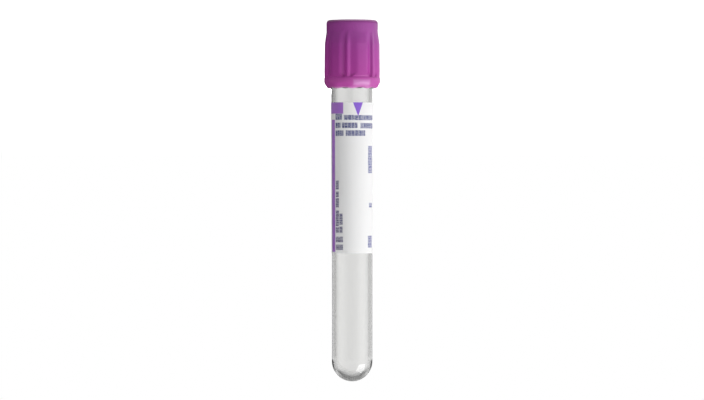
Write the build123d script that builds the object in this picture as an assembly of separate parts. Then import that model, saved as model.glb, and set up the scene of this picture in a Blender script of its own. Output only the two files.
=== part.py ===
from build123d import *
import os
from math import cos, radians, sin

# A blood collection tube, 13 x 100 mm, with its two-piece closure. Lengths in mm, angles in degrees.
# It stands on the flat top of its closure, mouth down: Z runs up its axis from the bench, and the
# middle of the label faces -Y.

# ---- tube: clear moulded plastic, round bottom up ----
tube_length = 100.0        # rim to the tip of the round bottom
tube_r = 6.10              # outside radius of the straight stretch below the round bottom
tube_rim_r = 6.30          # outside radius at the rim
straight_length = 32.0     # straight stretch, from the round bottom's centre towards the rim
tube_bottom_wall = 2.0     # thickness at the tip of the round bottom
mouth_bore_r = 5.30        # parallel bore that the stopper's plug seals in
mouth_bore_depth = 12.0
deep_bore_r = 5.05         # bore where it runs into the round bottom
rim_rounding = 0.25

# ---- label: one sheet, wrapped round the tube with a clear window left at the back ----
label_thickness = 0.10
label_height = 45.4
label_clear_of_skirt = 4.2     # closure's lower edge to the label's upper edge
label_wrap = 312.0

# ---- stopper: rubber, from its recessed face towards the tube ----
head_thickness = 2.0       # disc that the shield's ring holds
head_r = 6.2
groove_r = 5.0             # bottom of the groove that the ring lies in
flange_thickness = 3.2     # disc that seats on the tube's rim
flange_r = 6.4
plug_length = 8.5
plug_clearance = 0.04      # between the plug and the mouth bore
plug_lead = 0.8            # rounding that leads the plug in
well_r = 3.2               # hollow that leads a needle to the septum
well_depth = 3.4
septum_thickness = 3.2
pocket_r = 3.2             # hollow inside the plug
rubber_rounding = 0.3
hollow_rounding = 0.5

# ---- shield: purple over-cap, from its flat top towards the tube ----
shield_height = 20.7
top_wall = 2.2             # flat top around the needle port, down to the stopper's face
port_r = 4.2
ring_thickness = 1.6       # inner ring that lies in the stopper's groove
seat_gap = 0.05            # between the stopper and the shield, all round
skirt_bore_r = 6.95
collar_length = 3.7        # smooth narrow stretch next to the flat top
collar_r = 7.77
shoulder_length = 3.4      # flare from the collar to the panels
panel_top_r = 8.26
panel_bottom_r = 8.39
band_height = 3.3          # smooth band at the open end
band_r = 8.47
top_rounding = 0.7
shoulder_rounding = 2.5
lip_height = 1.6           # the band draws in towards its open edge
lip_r = 7.30
lip_rounding = 0.3
skirt_rounding = 1.5
port_rounding = 0.4

# ---- flutes: sunk between the shield's panels. Each has a rib down its middle, a steep side and a gentle
# side, and its angles are measured from its middle. ----
flute_count = 6
steep_edge = 19.5          # where the steep side leaves the panels' surface
steep_floor_r = 7.86
gentle_edge = 25.0         # where the gentle side leaves the panels' surface
gentle_floor_r = 7.98
rib_foot = 7.4             # where each side's floor meets the rib
rib_edge = 1.2             # half of the rib's narrow top
rib_r = 8.22
flute_turn = 10.5          # the nearest flute stands this far round from the label's middle

# ---- shallow waves round the band's open edge, which stands full in line with the label's middle ----
notch_count = 9
notch_depth = 0.36
notch_width = 4.7

# ---- heights up the axis, from the bench ----
head_end = top_wall + head_thickness
ring_end = head_end + ring_thickness
rim_height = ring_end + flange_thickness
plug_end = rim_height + plug_length
well_floor = top_wall + well_depth
pocket_roof = well_floor + septum_thickness
bore_end = rim_height + mouth_bore_depth
tube_tip = rim_height + tube_length
straight_start = tube_tip - tube_r - straight_length
label_low = shield_height + label_clear_of_skirt
band_start = shield_height - band_height
label_middle = -90.0       # direction of the label's middle, about +Z from +X


def turned(outline):
    """A solid turned about Z from (radius, height, rounding) corners."""
    corners = [(r, height) for r, height, rounding in outline]
    roundings = [rounding for r, height, rounding in outline]
    edge = FilletPolyline(*corners, radius=roundings, close=True)
    return revolve(Plane.XZ * make_face(edge), Axis.Z)


def round_ended(wall, end_r, tip):
    """A solid turned about Z from its wall's (radius, height) points, closed by a half ball up to the tip."""
    centre = tip - end_r
    foot = wall[0][1]
    side = Polyline((0, foot), *wall, (end_r, centre))
    dome = CenterArc((0, centre), end_r, 0, 90)
    middle = Line((0, tip), (0, foot))
    return revolve(Plane.XZ * make_face(side + dome + middle), Axis.Z)


def tube_form(growth=0.0):
    """The tube's outer form, grown all over by a thickness."""
    wall = [(tube_rim_r + growth, rim_height), (tube_r + growth, straight_start)]
    return round_ended(wall, tube_r + growth, tube_tip + growth)


def tube():
    bore_wall = [(mouth_bore_r, rim_height), (mouth_bore_r, bore_end)]
    bore = round_ended(bore_wall, deep_bore_r, tube_tip - tube_bottom_wall)
    body = tube_form() - bore
    rim = body.edges().filter_by(GeomType.CIRCLE).group_by(Axis.Z)[0]
    return fillet(rim, rim_rounding)


def label():
    sheet = tube_form(label_thickness) - tube_form()
    reach = 2 * tube_rim_r
    strip = Plane.XZ * Pos(reach / 2, label_low + label_height / 2) * Rectangle(reach, label_height)
    wrap = revolve(strip, Axis.Z, label_wrap)
    return sheet & (Rot(0, 0, label_middle - label_wrap / 2) * wrap)


def stopper():
    plug_r = mouth_bore_r - plug_clearance
    return turned([
        (0, well_floor, 0),
        (well_r, well_floor, hollow_rounding),
        (well_r, top_wall, rubber_rounding),
        (head_r, top_wall, rubber_rounding),
        (head_r, head_end, rubber_rounding),
        (groove_r, head_end, 0),
        (groove_r, ring_end, 0),
        (flange_r, ring_end, rubber_rounding),
        (flange_r, rim_height, rubber_rounding),
        (plug_r, rim_height, 0),
        (plug_r, plug_end, plug_lead),
        (pocket_r, plug_end, rubber_rounding),
        (pocket_r, pocket_roof, hollow_rounding),
        (0, pocket_roof, 0),
    ])


def polar(radius, angle):
    return (radius * cos(radians(angle)), radius * sin(radians(angle)))


def flute_cutter():
    """What one flute takes out of the shield, about +X: a sunk floor on each side of a rib."""
    outside_r = band_r + 1
    corners = [
        (outside_r, steep_edge),
        (panel_bottom_r, steep_edge),
        (steep_floor_r, rib_foot),
        (rib_r, rib_edge),
        (rib_r, -rib_edge),
        (gentle_floor_r, -rib_foot),
        (panel_bottom_r, -gentle_edge),
        (outside_r, -gentle_edge),
    ]
    section = make_face(Polyline(*[polar(r, angle) for r, angle in corners], close=True))
    return Pos(0, 0, collar_length) * extrude(section, band_start - collar_length)


def notch_cutter():
    """One shallow round notch at the band's edge, about +X."""
    radius = ((notch_width / 2) ** 2 + notch_depth ** 2) / (2 * notch_depth)
    axis_height = shield_height - notch_depth + radius
    roller = Rot(0, 90, 0) * Cylinder(radius, band_r, align=(Align.CENTER, Align.CENTER, Align.MIN))
    return Pos(0, 0, axis_height) * roller


def shield():
    body = turned([
        (port_r, 0, port_rounding),
        (collar_r, 0, top_rounding),
        (collar_r, collar_length, shoulder_rounding),
        (panel_top_r, collar_length + shoulder_length, shoulder_rounding),
        (panel_bottom_r, band_start, 0),
        (band_r, band_start, 0),
        (band_r, shield_height - lip_height, skirt_rounding),
        (lip_r, shield_height, lip_rounding),
        (skirt_bore_r, shield_height, 0),
        (skirt_bore_r, ring_end, 0),
        (groove_r + seat_gap, ring_end, 0),
        (groove_r + seat_gap, head_end, 0),
        (head_r + seat_gap, head_end, 0),
        (head_r + seat_gap, top_wall, 0),
        (port_r, top_wall, 0),
    ])
    first_flute = label_middle + flute_turn
    for number in range(flute_count):
        body -= Rot(0, 0, first_flute + number * 360 / flute_count) * flute_cutter()
    for number in range(notch_count):
        body -= Rot(0, 0, label_middle + (number + 0.5) * 360 / notch_count) * notch_cutter()
    return body


os.makedirs("parts", exist_ok=True)
pieces = {"tube": tube(), "label": label(), "stopper": stopper(), "shield": shield()}
for name, piece in pieces.items():
    export_step(piece, f"parts/{name}.step")
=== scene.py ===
"""A blood collection tube, standing on the flat top of its closure, dressed for a soft white studio.

Z runs up the tube's axis from the bench, and the middle of the label faces -Y. Outlines and print are in
millimetres, and MM takes them to the frame's metres.
"""
from math import atan2, ceil, cos, degrees, pi, radians, sin, tan

import bpy
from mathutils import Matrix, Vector


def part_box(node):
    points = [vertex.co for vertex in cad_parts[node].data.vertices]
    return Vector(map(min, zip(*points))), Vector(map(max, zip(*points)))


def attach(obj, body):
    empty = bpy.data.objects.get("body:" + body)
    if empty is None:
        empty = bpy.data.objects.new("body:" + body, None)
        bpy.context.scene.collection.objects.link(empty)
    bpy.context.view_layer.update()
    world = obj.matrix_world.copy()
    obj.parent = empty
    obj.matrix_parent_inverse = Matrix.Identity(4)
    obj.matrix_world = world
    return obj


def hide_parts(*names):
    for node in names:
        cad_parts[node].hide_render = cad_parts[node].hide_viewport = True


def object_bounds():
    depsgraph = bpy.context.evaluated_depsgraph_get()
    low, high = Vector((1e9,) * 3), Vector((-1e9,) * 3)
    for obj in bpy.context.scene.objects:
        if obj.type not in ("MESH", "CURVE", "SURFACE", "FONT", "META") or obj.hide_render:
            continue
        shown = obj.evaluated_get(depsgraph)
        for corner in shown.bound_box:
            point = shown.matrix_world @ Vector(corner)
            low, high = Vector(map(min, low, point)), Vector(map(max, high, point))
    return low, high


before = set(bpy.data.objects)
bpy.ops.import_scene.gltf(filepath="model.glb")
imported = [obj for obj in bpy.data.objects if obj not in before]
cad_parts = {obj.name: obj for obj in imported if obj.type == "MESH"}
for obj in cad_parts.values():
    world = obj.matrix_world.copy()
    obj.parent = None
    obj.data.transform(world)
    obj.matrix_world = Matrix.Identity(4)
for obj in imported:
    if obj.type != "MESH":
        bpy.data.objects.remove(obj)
cad_low, cad_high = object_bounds()

MM = 0.001
ARC_STEP = 12.0            # a rounding's arc has a point at least every this many degrees
DOUBLES = 0.001 * MM       # places nearer than this are one
SMOOTH_BELOW = 40.0        # edges that turn less than this many degrees are smooth
TUBE_STEPS, STOPPER_STEPS, SHIELD_STEPS = 256, 144, 480    # round each piece


def heights(node):
    """A CAD node's lowest and highest places, in mm."""
    low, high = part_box(node)
    return low.z / MM, high.z / MM


# ---- tube ----
rim_height, tube_tip = heights("tube")
tube_rim_r = 6.30
tube_r = 6.10
straight_length = 32.0
tube_bottom_wall = 2.0
mouth_bore_r = 5.30
mouth_bore_depth = 12.0
deep_bore_r = 5.05
rim_rounding = 0.25

# ---- label ----
label_low, label_high = heights("label")
label_wrap = 312.0
label_lift = 0.10          # outer face above the tube's wall
paper_thickness = 0.08
label_corner = 1.2
label_columns = 160

# ---- stopper ----
top_wall, plug_end = heights("stopper")
head_thickness = 2.0
head_r = 6.2
groove_r = 5.0
flange_r = 6.4
plug_clearance = 0.04
plug_lead = 0.8
well_r = 3.2
well_depth = 3.4
septum_thickness = 3.2
pocket_r = 3.2
rubber_rounding = 0.3
hollow_rounding = 0.5

# ---- shield ----
shield_height = heights("shield")[1]
port_r = 4.2
ring_thickness = 1.6
seat_gap = 0.05
skirt_bore_r = 6.95
collar_length = 3.7
collar_r = 7.77
shoulder_length = 3.4
panel_top_r = 8.26
panel_bottom_r = 8.39
band_height = 3.3
band_r = 8.47
top_rounding = 1.0
shoulder_rounding = 2.5
lip_height = 1.6           # the band draws in towards its open edge
lip_r = 7.42
lip_rounding = 0.8
skirt_rounding = 2.2
port_rounding = 0.4
band_line_depth = 0.09     # soft line that sets the band off from the panels
band_line_height = 0.5
wall_step = 0.36           # longest stretch between rings on the shield's outer wall

# ---- flutes: angles are measured from a flute's middle ----
flute_count = 6
flute_floor_r = 7.68
flute_turn = 10.5
steep_edge = 19.5          # where the panel starts to sink, on a flute's steep side
gentle_edge = -25.0        # and on its gentle side
flute_foot = 7.4           # where the floor reaches its full depth
rib_top = 0.6              # half of the rib's narrow top
steep_rib_foot = 6.0       # where the rib's flank meets the floor, on the steep side
gentle_share = 0.64        # depth of the gentle side, as a share of the steep side's
flute_low_run = 0.6        # mm over which a flute fades in, each way from the collar's end
flute_high_run = 0.7       # mm over which it fades out below the band
flute_end_draw = 0.8       # mm by which its ends draw in towards its edges

# ---- shallow waves along the open edge ----
notch_count = 9
notch_depth = 0.36
notch_start = 2.4          # distances from the open edge at which the waves start
notch_full = 0.6           # and reach their full depth

head_end = top_wall + head_thickness
ring_end = head_end + ring_thickness
well_floor = top_wall + well_depth
pocket_roof = well_floor + septum_thickness
bore_end = rim_height + mouth_bore_depth
straight_end = tube_tip - tube_r
straight_start = straight_end - straight_length
band_start = shield_height - band_height
panel_start = collar_length + shoulder_length


# ---------------------------------------------------------------- outlines

def at(radius, height):
    """A place in the XZ plane, in metres, from a radius and a height in mm."""
    return Vector((radius, 0, height)) * MM


def rounded(corners):
    """Places along (radius, height, rounding) corners, each rounded by an arc."""
    places = []
    for number, (radius, height, rounding) in enumerate(corners):
        corner = at(radius, height)
        if rounding == 0:
            places.append(corner)
            continue
        back = (at(*corners[number - 1][:2]) - corner).normalized()
        ahead = (at(*corners[number + 1][:2]) - corner).normalized()
        half = back.angle(ahead) / 2
        middle = corner + (back + ahead).normalized() * rounding * MM / sin(half)
        pieces = max(3, ceil(degrees(pi - 2 * half) / ARC_STEP))
        start = (corner + back * rounding * MM / tan(half) - middle).normalized()
        end = (corner + ahead * rounding * MM / tan(half) - middle).normalized()
        places += [middle + start.slerp(end, step / pieces) * rounding * MM for step in range(pieces + 1)]
    return places


def finer(places, longest):
    """The same outline with its long runs divided."""
    divided = [places[0]]
    for start, end in zip(places, places[1:]):
        pieces = ceil((end - start).length / (longest * MM))
        divided += [start.lerp(end, step / pieces) for step in range(1, pieces + 1)]
    return divided


def quarter(radius, centre, pieces=28):
    """A quarter circle from its widest place up to the axis."""
    turns = [pi / 2 * step / pieces for step in range(pieces + 1)]
    return [at(radius * cos(turn), centre + radius * sin(turn)) for turn in turns]


# ---------------------------------------------------------------- modelling

def start_piece(name):
    """Names the primitive that was just added and opens it for editing."""
    piece = bpy.context.object
    piece.name = name
    piece.data.name = name
    bpy.ops.object.mode_set(mode="EDIT")
    return piece


def settle():
    """Closes a piece's mesh, with its place and turn in the mesh, and smooths its gentle edges."""
    bpy.ops.object.mode_set(mode="OBJECT")
    bpy.ops.object.transform_apply(location=True, rotation=True, scale=True)
    bpy.ops.object.shade_smooth_by_angle(angle=radians(SMOOTH_BELOW))


def apply_modifier(piece, kind, **settings):
    modifier = piece.modifiers.new(kind, kind)
    for name, value in settings.items():
        setattr(modifier, name, value)
    bpy.ops.object.modifier_apply(modifier=modifier.name)


def turned(name, outline, steps):
    """A piece turned about Z: an outline is drawn by extruding a point along it, and then spun."""
    bpy.ops.object.select_all(action="DESELECT")
    bpy.ops.mesh.primitive_plane_add(size=MM, location=outline[0])
    piece = start_piece(name)
    bpy.ops.mesh.merge(type="CENTER")
    for place, following in zip(outline, outline[1:]):
        bpy.ops.mesh.extrude_region_move(TRANSFORM_OT_translate={"value": following - place})
    bpy.ops.mesh.select_all(action="SELECT")
    bpy.ops.mesh.remove_doubles(threshold=DOUBLES)
    bpy.ops.mesh.spin(steps=steps, angle=2 * pi, center=(0, 0, 0), axis=(0, 0, 1), use_auto_merge=True)
    bpy.ops.mesh.select_all(action="SELECT")
    bpy.ops.mesh.remove_doubles(threshold=DOUBLES)
    bpy.ops.mesh.delete_loose(use_faces=False)
    bpy.ops.mesh.select_all(action="SELECT")
    bpy.ops.mesh.normals_make_consistent(inside=False)
    settle()
    return piece


def ramp(value, start, end):
    """Rises smoothly from 0 at start to 1 at end."""
    share = min(max((value - start) / (end - start), 0), 1)
    return share * share * (3 - 2 * share)


def weigh(piece, name, share):
    """A vertex group that holds each place by its own share."""
    group = piece.vertex_groups.new(name=name)
    for vertex in piece.data.vertices:
        weight = share(vertex.co / MM)
        if weight > 0:
            group.add([vertex.index], weight, "REPLACE")
    return group.name


# ---------------------------------------------------------------- shield

def from_flute(place):
    """The angle from the middle of the nearest flute to a place on the shield, positive on the steep side."""
    spacing = 360 / flute_count
    angle = degrees(atan2(place.y, place.x)) + 90 - flute_turn
    return (angle + spacing / 2) % spacing - spacing / 2


def flute_share(place):
    """How far a place sinks towards the flutes' floor."""
    if place.xy.length < skirt_bore_r + seat_gap:
        return 0
    angle = from_flute(place)
    if angle > 0:
        across = ramp(angle, steep_edge, flute_foot)
    else:
        across = ramp(angle, gentle_edge, -flute_foot) * gentle_share
    across *= ramp(abs(angle), rib_top, steep_rib_foot if angle > 0 else flute_foot)
    drawn = flute_end_draw * ramp(abs(angle), flute_foot, steep_edge)
    low = ramp(place.z, collar_length - flute_low_run + drawn, collar_length + flute_low_run + drawn)
    high = ramp(place.z, band_start - drawn, band_start - flute_high_run - drawn)
    return across * low * high


def notch_share(place):
    """How far a place at the open edge draws back. The edge stands full in line with the label's middle."""
    around = 0.5 - 0.5 * cos(notch_count * (atan2(place.y, place.x) + pi / 2))
    return around * ramp(place.z, shield_height - notch_start, shield_height - notch_full)


def shield():
    outside = rounded([
        (port_r, top_wall, 0),
        (port_r, 0, port_rounding),
        (collar_r, 0, top_rounding),
        (collar_r, collar_length, shoulder_rounding),
        (panel_top_r, panel_start, shoulder_rounding),
        (panel_bottom_r, band_start - band_line_height, 0.4),
        (panel_bottom_r - band_line_depth, band_start - band_line_height / 2, 0.2),
        (band_r, band_start + 0.1, 0.3),
        (band_r, shield_height - lip_height, skirt_rounding),
        (lip_r, shield_height, lip_rounding),
        (skirt_bore_r, shield_height, 0),
    ])
    inside = rounded([
        (skirt_bore_r, shield_height, 0),
        (skirt_bore_r, ring_end, 0),
        (groove_r + seat_gap, ring_end, 0),
        (groove_r + seat_gap, head_end, 0),
        (head_r + seat_gap, head_end, 0),
        (head_r + seat_gap, top_wall, 0),
        (port_r, top_wall, 0),
    ])
    piece = turned("purple_shield", finer(outside, wall_step) + inside[1:], SHIELD_STEPS)
    group = weigh(piece, "flutes", flute_share)
    apply_modifier(
        piece, "CAST", cast_type="CYLINDER", factor=1, use_radius_as_size=False, size=flute_floor_r * MM,
        use_z=False, vertex_group=group,
    )
    group = weigh(piece, "notches", notch_share)
    apply_modifier(
        piece, "DISPLACE", direction="Z", mid_level=0, strength=-notch_depth * MM, vertex_group=group
    )
    piece.vertex_groups.clear()
    return piece


# ---------------------------------------------------------------- tube, label, stopper

WALL_SLOT, BORE_SLOT = 0, 1        # the tube's materials: outside and rim, then inside


def tube():
    outside = rounded([
        (mouth_bore_r, bore_end, 0),
        (mouth_bore_r, rim_height, rim_rounding),
        (tube_rim_r, rim_height, rim_rounding),
        (tube_r, straight_start, 0),
    ])
    dome = quarter(tube_r, straight_end)
    hollow_centre = tube_tip - tube_bottom_wall - deep_bore_r
    hollow = quarter(deep_bore_r, hollow_centre)
    piece = turned("clear_tube", outside + dome + hollow[::-1] + outside[:1], TUBE_STEPS)
    for face in piece.data.polygons:
        inward = face.normal.xy.dot(face.center.xy) < 0
        in_hollow = (face.center - at(0, hollow_centre)).length < mouth_bore_r * MM
        face.material_index = BORE_SLOT if inward or in_hollow else WALL_SLOT
    return piece


def wall_r(height):
    """The tube's outer radius at a height along its straight wall."""
    share = (height - rim_height) / (straight_start - rim_height)
    return tube_rim_r + (tube_r - tube_rim_r) * share


def label(tube_piece):
    """A sheet with rounded corners: cut flat, wrapped round and laid on the tube's wall."""
    around_r = wall_r((label_low + label_high) / 2) + label_lift
    width = radians(label_wrap) * around_r
    height = label_high - label_low
    bpy.ops.object.select_all(action="DESELECT")
    bpy.ops.mesh.primitive_plane_add(size=1)
    piece = start_piece("wrapped_label")
    bpy.ops.transform.resize(value=(width * MM, height * MM, 1))
    bpy.ops.mesh.bevel(affect="VERTICES", offset=label_corner * MM, segments=6)
    for column in range(1, label_columns):
        bpy.ops.mesh.select_all(action="SELECT")
        place = (column / label_columns - 0.5) * width * MM
        bpy.ops.mesh.bisect(plane_co=(place, 0, 0), plane_no=(1, 0, 0))
    bpy.ops.object.mode_set(mode="OBJECT")
    lay_out_print(piece, height)

    bpy.ops.object.mode_set(mode="EDIT")
    bpy.ops.mesh.select_all(action="SELECT")
    bpy.ops.transform.rotate(value=radians(90), orient_axis="X", center_override=(0, 0, 0))
    bpy.ops.object.mode_set(mode="OBJECT")
    apply_modifier(piece, "SIMPLE_DEFORM", deform_method="BEND", deform_axis="Z", angle=radians(label_wrap))
    piece.location = (0, -around_r * MM, (label_low + label_high) / 2 * MM)
    bpy.ops.object.transform_apply(location=True)
    apply_modifier(
        piece, "SHRINKWRAP", target=tube_piece, wrap_mode="OUTSIDE_SURFACE", offset=label_lift * MM
    )
    if piece.data.polygons[0].normal.dot(piece.data.polygons[0].center) < 0:
        piece.data.flip_normals()
    apply_modifier(piece, "SOLIDIFY", thickness=paper_thickness * MM, offset=-1, material_offset=1)
    bpy.ops.object.shade_smooth_by_angle(angle=radians(SMOOTH_BELOW))
    return piece


def lay_out_print(piece, height):
    """The flat sheet's own map: mm to the right of its middle and mm down from its upper edge."""
    layout = piece.data.uv_layers.active
    for loop in piece.data.loops:
        place = piece.data.vertices[loop.vertex_index].co / MM
        layout.data[loop.index].uv = (-place.x, height / 2 - place.y)


def stopper():
    plug_r = mouth_bore_r - plug_clearance
    outline = rounded([
        (0, well_floor, 0),
        (well_r, well_floor, hollow_rounding),
        (well_r, top_wall, rubber_rounding),
        (head_r, top_wall, rubber_rounding),
        (head_r, head_end, rubber_rounding),
        (groove_r, head_end, 0),
        (groove_r, ring_end, 0),
        (flange_r, ring_end, rubber_rounding),
        (flange_r, rim_height, rubber_rounding),
        (plug_r, rim_height, 0),
        (plug_r, plug_end, plug_lead),
        (pocket_r, plug_end, rubber_rounding),
        (pocket_r, pocket_roof, hollow_rounding),
        (0, pocket_roof, 0),
    ])
    return turned("rubber_stopper", outline, STOPPER_STEPS)


# ---------------------------------------------------------------- nodes

def add(tree, kind, settings=(), **inputs):
    """A node. settings are its own properties, and inputs are plain values or sockets that feed it."""
    node = tree.nodes.new(kind)
    for name, value in dict(settings).items():
        setattr(node, name, value)
    for name, value in inputs.items():
        feed(tree, node.inputs[name.replace("_", " ")], value)
    return node


def feed(tree, socket, value):
    if isinstance(value, bpy.types.NodeSocket):
        tree.links.new(value, socket)
    else:
        socket.default_value = value


def maths(tree, operation, *values):
    node = add(tree, "ShaderNodeMath", {"operation": operation})
    for socket, value in zip(node.inputs, values):
        feed(tree, socket, value)
    return node.outputs[0]


def vectors(tree, operation, *values):
    """Vector sums. A length and a dot product give a number, and the others a vector."""
    node = add(tree, "ShaderNodeVectorMath", {"operation": operation})
    for socket, value in zip(node.inputs, values):
        feed(tree, socket, value)
    return node.outputs["Value" if operation in ("LENGTH", "DOT_PRODUCT") else "Vector"]


def between(tree, share, first, second):
    """Goes from the first colour to the second by a share."""
    node = add(tree, "ShaderNodeMix", {"data_type": "RGBA"})
    for number, value in ((0, share), (6, first), (7, second)):
        feed(tree, node.inputs[number], value)
    return node.outputs[2]


def spread(tree, value, low, high, to_low, to_high, smooth=False):
    """Takes a value's range to another range, held at both ends."""
    kind = "SMOOTHSTEP" if smooth else "LINEAR"
    node = add(
        tree, "ShaderNodeMapRange", {"interpolation_type": kind},
        Value=value, From_Min=low, From_Max=high, To_Min=to_low, To_Max=to_high,
    )
    return node.outputs[0]


def vary(tree, noise, least, most):
    """A value that wanders between two others with a noise."""
    return spread(tree, noise, 0.3, 0.7, least, most)


def group_tree(name, inputs, outputs):
    """An empty node group with its own sockets, and its two end nodes."""
    tree = bpy.data.node_groups.new(name, "ShaderNodeTree")
    for socket, kind in inputs.items():
        tree.interface.new_socket(socket, in_out="INPUT", socket_type="NodeSocket" + kind)
    for socket, kind in outputs.items():
        tree.interface.new_socket(socket, in_out="OUTPUT", socket_type="NodeSocket" + kind)
    return tree, tree.nodes.new("NodeGroupInput"), tree.nodes.new("NodeGroupOutput")


def use(tree, group, **inputs):
    """A node group placed in a material, with its values."""
    return add(tree, "ShaderNodeGroup", {"node_tree": group}, **inputs)


def grain_group():
    """Fine surface grain, in mm, and the slow unevenness of a moulded or milled face."""
    tree, given, result = group_tree(
        "surface_grain",
        {"Place": "Vector", "Grain": "Float", "Patches": "Float"},
        {"Height": "Float", "Patch": "Float"},
    )
    in_mm = vectors(tree, "MULTIPLY", given.outputs["Place"], (1 / MM, 1 / MM, 1 / MM))
    fine_scale = maths(tree, "DIVIDE", 1, given.outputs["Grain"])
    fine = add(tree, "ShaderNodeTexNoise", Vector=in_mm, Scale=fine_scale, Detail=3, Roughness=0.6)
    patch_scale = maths(tree, "DIVIDE", 1, given.outputs["Patches"])
    patch = add(tree, "ShaderNodeTexNoise", Vector=in_mm, Scale=patch_scale, Detail=2, Roughness=0.5)
    feed(tree, result.inputs["Height"], fine.outputs[0])
    feed(tree, result.inputs["Patch"], patch.outputs[0])
    return tree


def around_group():
    """Lays a round piece out flat: mm to the right of the label's middle line and mm up from the bench."""
    tree, given, result = group_tree("laid_flat", {"Place": "Vector", "Radius": "Float"}, {"Flat": "Vector"})
    place = add(tree, "ShaderNodeSeparateXYZ", Vector=given.outputs["Place"])
    right = maths(tree, "MULTIPLY", place.outputs[0], -1)
    front = maths(tree, "MULTIPLY", place.outputs[1], -1)
    across = maths(tree, "MULTIPLY", maths(tree, "ARCTAN2", right, front), given.outputs["Radius"])
    up = maths(tree, "DIVIDE", place.outputs[2], MM)
    flat = add(tree, "ShaderNodeCombineXYZ", X=across, Y=up)
    feed(tree, result.inputs["Flat"], flat.outputs[0])
    return tree


def bar_group():
    """A mask of one printed bar, from its middle and its size, with a slightly soft edge."""
    tree, given, result = group_tree(
        "printed_bar",
        {"Flat": "Vector", "Middle": "Vector", "Size": "Vector", "Edge": "Float"},
        {"Mask": "Float"},
    )
    away = vectors(tree, "ABSOLUTE", vectors(tree, "SUBTRACT", given.outputs["Flat"], given.outputs["Middle"]))
    half = vectors(tree, "MULTIPLY", given.outputs["Size"], (0.5, 0.5, 0.5))
    outside = add(tree, "ShaderNodeSeparateXYZ", Vector=vectors(tree, "SUBTRACT", away, half))
    distance = maths(tree, "MAXIMUM", outside.outputs[0], outside.outputs[1])
    feed(tree, result.inputs["Mask"], spread(tree, distance, 0, given.outputs["Edge"], 1, 0))
    return tree


def strokes_group():
    """Uneven marks close together along a bar, so that it reads as a line of small plain print."""
    tree, given, result = group_tree(
        "bar_strokes",
        {"Flat": "Vector", "Along": "Float", "Width": "Float", "Gap": "Float", "Fullness": "Float"},
        {"Mask": "Float"},
    )
    scale = maths(tree, "DIVIDE", 1, given.outputs["Width"])
    cells = add(
        tree, "ShaderNodeTexVoronoi", {"voronoi_dimensions": "1D", "feature": "DISTANCE_TO_EDGE"},
        W=given.outputs["Along"], Scale=scale, Randomness=0.85,
    )
    half_gap = maths(tree, "DIVIDE", given.outputs["Gap"], given.outputs["Width"])
    stroke = spread(tree, cells.outputs["Distance"], 0, half_gap, 0, 1, smooth=True)
    blots = add(tree, "ShaderNodeTexNoise", Vector=given.outputs["Flat"], Scale=2.4, Detail=2, Roughness=0.6)
    blot = spread(tree, blots.outputs[0], 0.4, 0.56, 0, 1, smooth=True)
    fullness = given.outputs["Fullness"]
    rest = maths(tree, "SUBTRACT", 1, fullness)
    mask = maths(tree, "MULTIPLY_ADD", maths(tree, "MULTIPLY", stroke, blot), rest, fullness)
    feed(tree, result.inputs["Mask"], mask)
    return tree


def material(name):
    """An empty material, its tree, and the node that gives its piece's own coordinates."""
    made = bpy.data.materials.new(name)
    made.use_nodes = True
    tree = made.node_tree
    tree.nodes.clear()
    coordinates = tree.nodes.new("ShaderNodeTexCoord")
    return made, tree, coordinates


def finish(tree, shader):
    output = tree.nodes.new("ShaderNodeOutputMaterial")
    tree.links.new(shader, output.inputs["Surface"])


def linear(red, green, blue):
    """A screen colour, 0 to 255, as the renderer's own."""
    parts = [part / 255 for part in (red, green, blue)]
    return [part / 12.92 if part <= 0.04045 else ((part + 0.055) / 1.055) ** 2.4 for part in parts] + [1]


# ---------------------------------------------------------------- materials

GRAIN = grain_group()
LAID_FLAT = around_group()
BAR = bar_group()
STROKES = strokes_group()


def colour_ramp(tree, share, stops):
    """Colours by (place, colour) along a share from 0 to 1."""
    node = add(tree, "ShaderNodeValToRGB", Fac=share)
    elements = node.color_ramp.elements
    for _ in stops[2:]:
        elements.new(0.5)
    for element, (place, colour) in zip(elements, stops):
        element.position = place
        element.color = colour
    return node.outputs["Color"]


def painted_shading_ramp(tree, share, tones):
    """Faintly warm greys by (place, grey) along a share from 0 to 1, for painted shade and light."""
    return colour_ramp(tree, share, [(place, (grey, grey, 0.993 * grey, 1)) for place, grey in tones])


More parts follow.
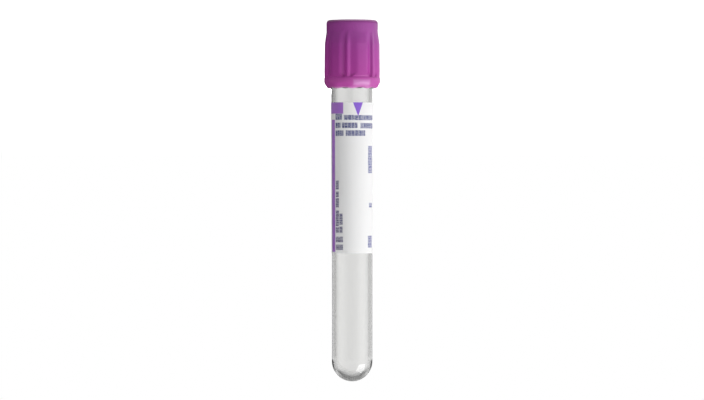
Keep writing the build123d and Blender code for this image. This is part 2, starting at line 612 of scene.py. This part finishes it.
def clear_plastic(name, first_painted_shading, stretches=()):
    """Clear moulded plastic. Its colour is painted shade and light: greys from face on to edge on, for the dark
    bands and bright zones that its curved wall would bend light into. Lamps' light goes through it.

    The painted greys change along the tube, as its wall does. Each stretch has the heights between which
    it takes over.
    """
    made, tree, coordinates = material(name)
    place = coordinates.outputs["Object"]
    grain = use(tree, GRAIN, Place=place, Grain=0.5, Patches=9.0)
    facing = add(tree, "ShaderNodeLayerWeight", Blend=0.5)
    height = add(tree, "ShaderNodeSeparateXYZ", Vector=place).outputs[2]
    haze = spread(tree, height, HAZE_START * MM, HAZE_FULL * MM, 0, 0.1, smooth=True)
    edge_on = facing.outputs["Facing"]
    # painted shade and light: the wall's grey darkens and brightens by how edge on it is seen
    colour = painted_shading_ramp(tree, edge_on, first_painted_shading)
    for start, end, tones in stretches:
        share = spread(tree, height, start * MM, end * MM, 0, 1, smooth=True)
        colour = between(tree, share, colour, painted_shading_ramp(tree, edge_on, tones))
    flow = add(tree, "ShaderNodeMapping", Vector=place, Scale=(1, 1, 0.12))
    waves = add(tree, "ShaderNodeTexNoise", Vector=flow.outputs[0], Scale=160, Detail=1)
    bump = add(tree, "ShaderNodeBump", Strength=0.05, Distance=0.2 * MM, Height=waves.outputs[0])
    plastic = add(
        tree, "ShaderNodeBsdfPrincipled",
        Base_Color=colour, IOR=1.57, Transmission_Weight=1.0, Normal=bump.outputs["Normal"],
        Roughness=maths(tree, "ADD", haze, vary(tree, grain.outputs["Patch"], 0.02, 0.06)),
    )
    open_way = add(tree, "ShaderNodeBsdfTransparent", Color=linear(246, 247, 247))
    rays = tree.nodes.new("ShaderNodeLightPath")
    through = maths(tree, "MAXIMUM", rays.outputs["Is Shadow Ray"], rays.outputs["Is Diffuse Ray"])
    mixed = tree.nodes.new("ShaderNodeMixShader")
    feed(tree, mixed.inputs[0], through)
    tree.links.new(plastic.outputs[0], mixed.inputs[1])
    tree.links.new(open_way.outputs[0], mixed.inputs[2])
    finish(tree, mixed.outputs[0])
    return made


# Heights between which the thick tip grows hazy.
HAZE_START, HAZE_FULL = tube_tip - 5.0, tube_tip - 2.6

# Painted shade and light, greys from face on, 0, to edge on, 1: beside the closure, along the wall, where it
# turns into the round bottom, on the round bottom and at its tip. The bore has its own.
MOUTH_PAINTED_SHADING = (
    (0, 0.8), (0.09, 0.84), (0.14, 0.83), (0.22, 0.8), (0.32, 0.62), (0.44, 0.25), (0.6, 0.15), (0.8, 0.1),
    (1, 0.1),
)
SIDE_PAINTED_SHADING = (
    (0, 0.85), (0.03, 0.86), (0.09, 0.91), (0.14, 0.91), (0.22, 0.86), (0.32, 0.7), (0.44, 0.31), (0.56, 0.33),
    (0.72, 0.68), (1, 1.0),
)
TURN_PAINTED_SHADING = (
    (0, 0.85), (0.03, 0.86), (0.09, 0.91), (0.14, 0.91), (0.22, 0.85), (0.32, 0.73), (0.44, 0.52), (0.56, 0.6),
    (0.72, 0.9), (1, 1.0),
)
TIP_PAINTED_SHADING = (
    (0, 0.82), (0.12, 0.82), (0.22, 0.6), (0.33, 0.22), (0.41, 0.07), (0.48, 0.12), (0.56, 0.5), (0.66, 0.95),
    (1, 1.0),
)
TIP_EDGE_PAINTED_SHADING = (
    (0, 0.82), (0.22, 0.5), (0.33, 0.18), (0.44, 0.1), (0.6, 0.19), (0.72, 0.3), (1, 0.55),
)
OUTER_STRETCHES = (
    (label_low - 1.5, label_low + 3.0, SIDE_PAINTED_SHADING),
    (tube_tip - 8.2, tube_tip - 6.4, TURN_PAINTED_SHADING),
    (tube_tip - 4.4, tube_tip - 2.6, TIP_PAINTED_SHADING),
    (tube_tip - 2.6, tube_tip - 1.2, TIP_EDGE_PAINTED_SHADING),
)
BORE_PAINTED_SHADING = ((0, 0.82), (0.06, 0.86), (0.2, 0.88), (1, 0.84))

# The shield's colours by height from its flat top, and the pad on its band, laid out flat. The purple is
# darkened towards the flat top by painted shade and paled on the band by painted light.
SHIELD_COLOURS_AND_PAINTED_SHADING = (
    (0.0, (156, 63, 152)), (5.0, (158, 60, 153)), (9.8, (167, 54, 154)), (15.3, (176, 56, 158)),
    (17.2, (178, 58, 158)), (18.4, (188, 76, 166)),
)
PAD_MIDDLE = (3.15, 18.95, 0)
PAD_SIZE = (4.7, 0.8, 0)
PAD_EDGE = 0.75


def purple_plastic():
    """Satin purple plastic, redder towards its open end, with a blank paler pad on its band. Its colour holds
    painted shade, darker towards the flat top and in a line under the top's rounding, and painted light, paler
    on the band and at the rim, open edge and inside.
    """
    made, tree, coordinates = material("purple_plastic")
    place = coordinates.outputs["Object"]
    grain = use(tree, GRAIN, Place=place, Grain=0.16, Patches=5.0)
    flat = use(tree, LAID_FLAT, Place=place, Radius=band_r)
    pad = use(tree, BAR, Flat=flat.outputs[0], Middle=PAD_MIDDLE, Size=PAD_SIZE, Edge=PAD_EDGE)
    height = add(tree, "ShaderNodeSeparateXYZ", Vector=place).outputs[2]
    along = spread(tree, height, 0, shield_height * MM, 0, 1)
    # the purple by height, with painted shade towards the flat top and painted light on the band
    stops = [(start / shield_height, linear(*colour)) for start, colour in SHIELD_COLOURS_AND_PAINTED_SHADING]
    body = colour_ramp(tree, along, stops)
    body = between(tree, vary(tree, grain.outputs["Patch"], 0, 0.1), body, linear(198, 84, 180))
    radius = vectors(tree, "LENGTH", vectors(tree, "MULTIPLY", place, (1, 1, 0)))
    # painted shade: a dark line under the top's rounding; and then painted light: the pale rim, open edge and
    # inside
    painted_shade_low = spread(tree, height, 0.4 * MM, 0.75 * MM, 0, 0.3, smooth=True)
    painted_shade_high = spread(tree, height, 0.75 * MM, 1.1 * MM, 1, 0, smooth=True)
    body = between(tree, maths(tree, "MULTIPLY", painted_shade_low, painted_shade_high), body, linear(112, 30, 100))
    # painted light: the rim, the open edge and the skirt's inside are paler than the purple
    rim = spread(tree, height, 0.25 * MM, 0.65 * MM, 0.85, 0, smooth=True)
    lip = spread(tree, height, (shield_height - 0.8) * MM, shield_height * MM, 0, 0.55, smooth=True)
    bore = spread(tree, radius, (skirt_bore_r + 0.1) * MM, (skirt_bore_r + 0.3) * MM, 0.85, 0)
    painted_light = maths(tree, "MAXIMUM", rim, maths(tree, "MAXIMUM", lip, bore))
    body = between(tree, painted_light, body, linear(230, 168, 219))
    colour = between(tree, pad.outputs[0], body, linear(204, 122, 192))
    bump = add(tree, "ShaderNodeBump", Strength=0.12, Distance=0.02 * MM, Height=grain.outputs["Height"])
    plastic = add(
        tree, "ShaderNodeBsdfPrincipled",
        Base_Color=colour, IOR=1.5, Specular_IOR_Level=0.6, Normal=bump.outputs["Normal"],
        Roughness=vary(tree, grain.outputs["Patch"], 0.38, 0.47),
    )
    finish(tree, plastic.outputs[0])
    return made


def stopper_rubber():
    """Soft matt rubber with a powdery bloom."""
    made, tree, coordinates = material("stopper_rubber")
    grain = use(tree, GRAIN, Place=coordinates.outputs["Object"], Grain=0.22, Patches=3.0)
    colour = between(tree, grain.outputs["Patch"], linear(118, 92, 130), linear(138, 112, 148))
    bump = add(tree, "ShaderNodeBump", Strength=0.3, Distance=0.03 * MM, Height=grain.outputs["Height"])
    rubber = add(
        tree, "ShaderNodeBsdfPrincipled", Base_Color=colour, IOR=1.52, Normal=bump.outputs["Normal"],
        Roughness=vary(tree, grain.outputs["Height"], 0.62, 0.8),
    )
    finish(tree, rubber.outputs[0])
    return made


# Bars of print, each from left to right and from top to bottom: mm from the label's middle line and from its
# upper edge. They stand for the lines of a plain form, and spell nothing.
LAVENDER_FIELDS = ((-11.5, -2.85, -0.5, 3.3), (-8.1, -6.1, 5.25, 44.9))
HEAD_LINES = (
    (-5.7, -3.2, 3.5, 5.2), (-2.45, 0.3, 3.9, 5.2), (0.45, 8.0, 3.95, 5.25),
    (-5.7, -3.75, 6.2, 7.6), (-3.15, 1.5, 6.2, 7.65), (2.65, 8.0, 6.3, 7.75),
    (-5.7, -2.75, 8.5, 10.0), (-1.85, 4.1, 8.5, 10.0),
)
RIGHT_CAPTIONS = ((5.5, 7.7, 13.2, 21.2), (6.0, 7.8, 30.3, 31.5), (5.5, 7.7, 40.2, 43.6))
LEFT_CAPTIONS = (
    (-5.6, -4.45, 23.6, 26.1), (-5.6, -4.45, 26.9, 28.4), (-5.6, -4.45, 28.9, 31.5),
    (-5.6, -4.45, 32.6, 37.2), (-5.6, -4.45, 37.7, 39.2), (-4.1, -3.1, 33.5, 36.8), (-4.1, -3.1, 37.4, 39.2),
    (-5.6, -3.0, 40.5, 42.0), (-5.6, -3.0, 42.9, 44.3),
)
MARK_MIDDLE, MARK_HALF_WIDTH, MARK_DEPTH = 1.8, 1.5, 4.1
PRINT_EDGE = 0.16          # softness of a bar's edge
PAPER_GLOW = 0.09          # mm that light spreads inside the sheet


def bars_mask(tree, flat, bars):
    """Where any of these bars is printed."""
    mask = 0.0
    for left, right, top, bottom in bars:
        bar = use(
            tree, BAR, Flat=flat, Edge=PRINT_EDGE,
            Middle=((left + right) / 2, (top + bottom) / 2, 0), Size=(right - left, bottom - top, 0),
        )
        mask = maths(tree, "MAXIMUM", mask, bar.outputs[0])
    return mask


def mark_mask(tree, across, down):
    """A plain triangle that hangs from the label's upper edge."""
    to_point = maths(tree, "SUBTRACT", MARK_DEPTH, down)
    half_width = maths(tree, "MULTIPLY", to_point, MARK_HALF_WIDTH / MARK_DEPTH)
    away = maths(tree, "ABSOLUTE", maths(tree, "SUBTRACT", across, MARK_MIDDLE))
    return spread(tree, maths(tree, "SUBTRACT", away, half_width), 0, 0.06, 1, 0)


def label_face():
    """White film-faced paper with plain coloured fields and bars."""
    made, tree, coordinates = material("label_face")
    flat = coordinates.outputs["UV"]
    parts = add(tree, "ShaderNodeSeparateXYZ", Vector=flat)
    across, down = parts.outputs[0], parts.outputs[1]
    grain = use(tree, GRAIN, Place=coordinates.outputs["Object"], Grain=0.09, Patches=4.0)
    colour = between(tree, grain.outputs["Patch"], linear(246, 247, 249), linear(250, 250, 250))
    print_across = use(tree, STROKES, Flat=flat, Along=across, Width=0.95, Gap=0.3, Fullness=0.5).outputs[0]
    print_down = use(tree, STROKES, Flat=flat, Along=down, Width=0.8, Gap=0.26, Fullness=0.5).outputs[0]
    inks = (
        (bars_mask(tree, flat, LAVENDER_FIELDS), linear(184, 133, 217)),
        (mark_mask(tree, across, down), linear(152, 108, 220)),
        (maths(tree, "MULTIPLY", bars_mask(tree, flat, HEAD_LINES), print_across), linear(62, 70, 138)),
        (maths(tree, "MULTIPLY", bars_mask(tree, flat, RIGHT_CAPTIONS), print_down), linear(98, 100, 160)),
        (maths(tree, "MULTIPLY", bars_mask(tree, flat, LEFT_CAPTIONS), print_down), linear(94, 88, 134)),
    )
    for mask, ink in inks:
        colour = between(tree, mask, colour, ink)
    bump = add(tree, "ShaderNodeBump", Strength=0.15, Distance=0.01 * MM, Height=grain.outputs["Height"])
    sheet = add(
        tree, "ShaderNodeBsdfPrincipled", Base_Color=colour, IOR=1.48, Normal=bump.outputs["Normal"],
        Roughness=vary(tree, grain.outputs["Height"], 0.42, 0.55),
        Subsurface_Weight=1.0, Subsurface_Radius=(1, 1, 1), Subsurface_Scale=PAPER_GLOW * MM,
    )
    finish(tree, sheet.outputs[0])
    return made


def label_back():
    """The plain side that lies on the tube."""
    made, tree, coordinates = material("label_back")
    grain = use(tree, GRAIN, Place=coordinates.outputs["Object"], Grain=0.4, Patches=3.0)
    colour = between(tree, grain.outputs["Patch"], linear(244, 244, 243), linear(249, 249, 248))
    sheet = add(
        tree, "ShaderNodeBsdfPrincipled", Base_Color=colour, IOR=1.48,
        Roughness=vary(tree, grain.outputs["Height"], 0.5, 0.65),
        Subsurface_Weight=1.0, Subsurface_Radius=(1, 1, 1), Subsurface_Scale=PAPER_GLOW * MM,
    )
    finish(tree, sheet.outputs[0])
    return made


# ---------------------------------------------------------------- the dressed part

def dress(piece, node, body, slot, *materials):
    """Gives a piece its materials, and says which node it replaces and which body it moves with."""
    for made in materials:
        piece.data.materials.append(made)
    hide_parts(node)
    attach(piece, body)


tube_piece = tube()
dress(
    tube_piece, "tube", "tube", "clear_plastic",
    clear_plastic("clear_plastic", MOUTH_PAINTED_SHADING, OUTER_STRETCHES),
    clear_plastic("clear_plastic_bore", BORE_PAINTED_SHADING),
)
dress(label(tube_piece), "label", "tube", "label_paper", label_face(), label_back())
dress(stopper(), "stopper", "closure", "stopper_rubber", stopper_rubber())
dress(shield(), "shield", "closure", "purple_plastic", purple_plastic())


# ---------------------------------------------------------------- studio

middle_height = (cad_high.z + cad_low.z) / 2
camera_distance = 1.3
camera_across = 0.05 * MM  # where the camera stands off the axis
camera_up = -0.23 * MM     # and off the part's middle
lamp_distance = 0.9
bench_seen = 0.84          # brightness that the bench adds where the camera sees it


def bench():
    """A plain white bench, which looks pure white where nothing shades it.

    Through clear plastic it is as white as the world. Gloss sees only its right side, and the left is dim.
    """
    bpy.ops.object.select_all(action="DESELECT")
    bpy.ops.mesh.primitive_plane_add(size=8)
    top = bpy.context.object
    top.name = "bench"
    made, tree, coordinates = material("bench_white")
    grain = use(tree, GRAIN, Place=coordinates.outputs["Object"], Grain=1.0, Patches=60.0)
    colour = between(tree, grain.outputs["Patch"], (0.54, 0.54, 0.54, 1), (0.56, 0.56, 0.56, 1))
    rays = tree.nodes.new("ShaderNodeLightPath")
    glossy = rays.outputs["Is Glossy Ray"]
    side = add(tree, "ShaderNodeSeparateXYZ", Vector=coordinates.outputs["Object"]).outputs[0]
    lit_side = spread(tree, side, -0.06, 0.02, 1, 0.03, smooth=True)
    mirrored = maths(tree, "MULTIPLY", glossy, lit_side)
    through = rays.outputs["Is Transmission Ray"]
    shaded = maths(tree, "MAXIMUM", maths(tree, "SUBTRACT", glossy, mirrored), through)
    colour = between(tree, shaded, colour, (0, 0, 0, 1))
    matt = add(tree, "ShaderNodeBsdfPrincipled", Base_Color=colour, Roughness=0.9, Specular_IOR_Level=0.1)
    seen = maths(tree, "MULTIPLY", maths(tree, "MAXIMUM", rays.outputs["Is Camera Ray"], mirrored), bench_seen)
    glow = add(tree, "ShaderNodeEmission", Color=(1, 1, 1, 1), Strength=maths(tree, "MAXIMUM", seen, through))
    both = tree.nodes.new("ShaderNodeAddShader")
    tree.links.new(matt.outputs[0], both.inputs[0])
    tree.links.new(glow.outputs[0], both.inputs[1])
    finish(tree, both.outputs[0])
    top.data.materials.append(made)


def wall_share(tree, direction, middle, start, end, dim, level):
    """Rises from dim to level as a direction turns towards the middle of the white wall."""
    return spread(tree, vectors(tree, "DOT_PRODUCT", direction, middle), start, end, dim, level, smooth=True)


def studio_world():
    """White where it is seen or seen through. Gloss and light see a white wall on the right and a dim left."""
    world = bpy.data.worlds.new("studio")
    bpy.context.scene.world = world
    world.use_nodes = True
    tree = world.node_tree
    tree.nodes.clear()
    rays = tree.nodes.new("ShaderNodeLightPath")
    direction = tree.nodes.new("ShaderNodeTexCoord").outputs["Generated"]
    wall = wall_share(tree, direction, (-0.9, -0.44, 0), -0.58, 1.0, 0.05, 0.72)
    mirrored_wall = wall_share(tree, direction, (-0.95, -0.3, 0), 0.1, 0.95, 0.02, 1.0)
    mirrored = maths(tree, "MULTIPLY", rays.outputs["Is Glossy Ray"], mirrored_wall)
    shown = maths(
        tree, "MAXIMUM", rays.outputs["Is Camera Ray"],
        maths(tree, "MAXIMUM", mirrored, rays.outputs["Is Transmission Ray"]),
    )
    background = add(
        tree, "ShaderNodeBackground", Color=(1, 1, 1, 1), Strength=maths(tree, "MAXIMUM", shown, wall)
    )
    output = tree.nodes.new("ShaderNodeOutputWorld")
    tree.links.new(background.outputs[0], output.inputs["Surface"])


def soft_lamp(name, azimuth, elevation, width, height, level, mirrored=True):
    """A flat lamp that faces the part. azimuth is to the right of the camera as it sees the part.

    width and height are in metres. level is how bright it makes white paper that faces it, where 1 is white. A
    lamp that isn't mirrored has no image in gloss, and none has an image through the clear wall.
    """
    data = bpy.data.lights.new(name, "AREA")
    data.shape = "RECTANGLE"
    data.size = width
    data.size_y = height
    data.energy = level * (pi * lamp_distance) ** 2
    lamp = bpy.data.objects.new(name, data)
    bpy.context.collection.objects.link(lamp)
    across, up = radians(azimuth), radians(elevation)
    away = Vector((-sin(across) * cos(up), -cos(across) * cos(up), sin(up)))
    lamp.location = away * lamp_distance + Vector((0, 0, middle_height))
    lamp.rotation_euler = away.to_track_quat("Z", "Y").to_euler()
    lamp.visible_camera = False
    lamp.visible_glossy = mirrored
    lamp.visible_transmission = False


def camera():
    """Level with the part's middle and rolled half a turn, so that the closure is at the top of the view."""
    data = bpy.data.cameras.new("camera")
    data.lens = 220.16
    data.sensor_width = 36
    data.clip_start = 0.01
    view = bpy.data.objects.new("camera", data)
    bpy.context.collection.objects.link(view)
    view.location = (camera_across, -camera_distance, middle_height + camera_up)
    view.rotation_euler = (radians(90), radians(180), 0)
    bpy.context.scene.camera = view


bench()
studio_world()
soft_lamp("key", azimuth=62, elevation=38, width=0.7, height=0.7, level=0.8)
soft_lamp("through_light", azimuth=174, elevation=8, width=0.5, height=0.15, level=0.68, mirrored=False)
soft_lamp("fill", azimuth=-62, elevation=14, width=0.4, height=0.4, level=0.22, mirrored=False)
camera()
bpy.context.scene.view_settings.view_transform = "Standard"
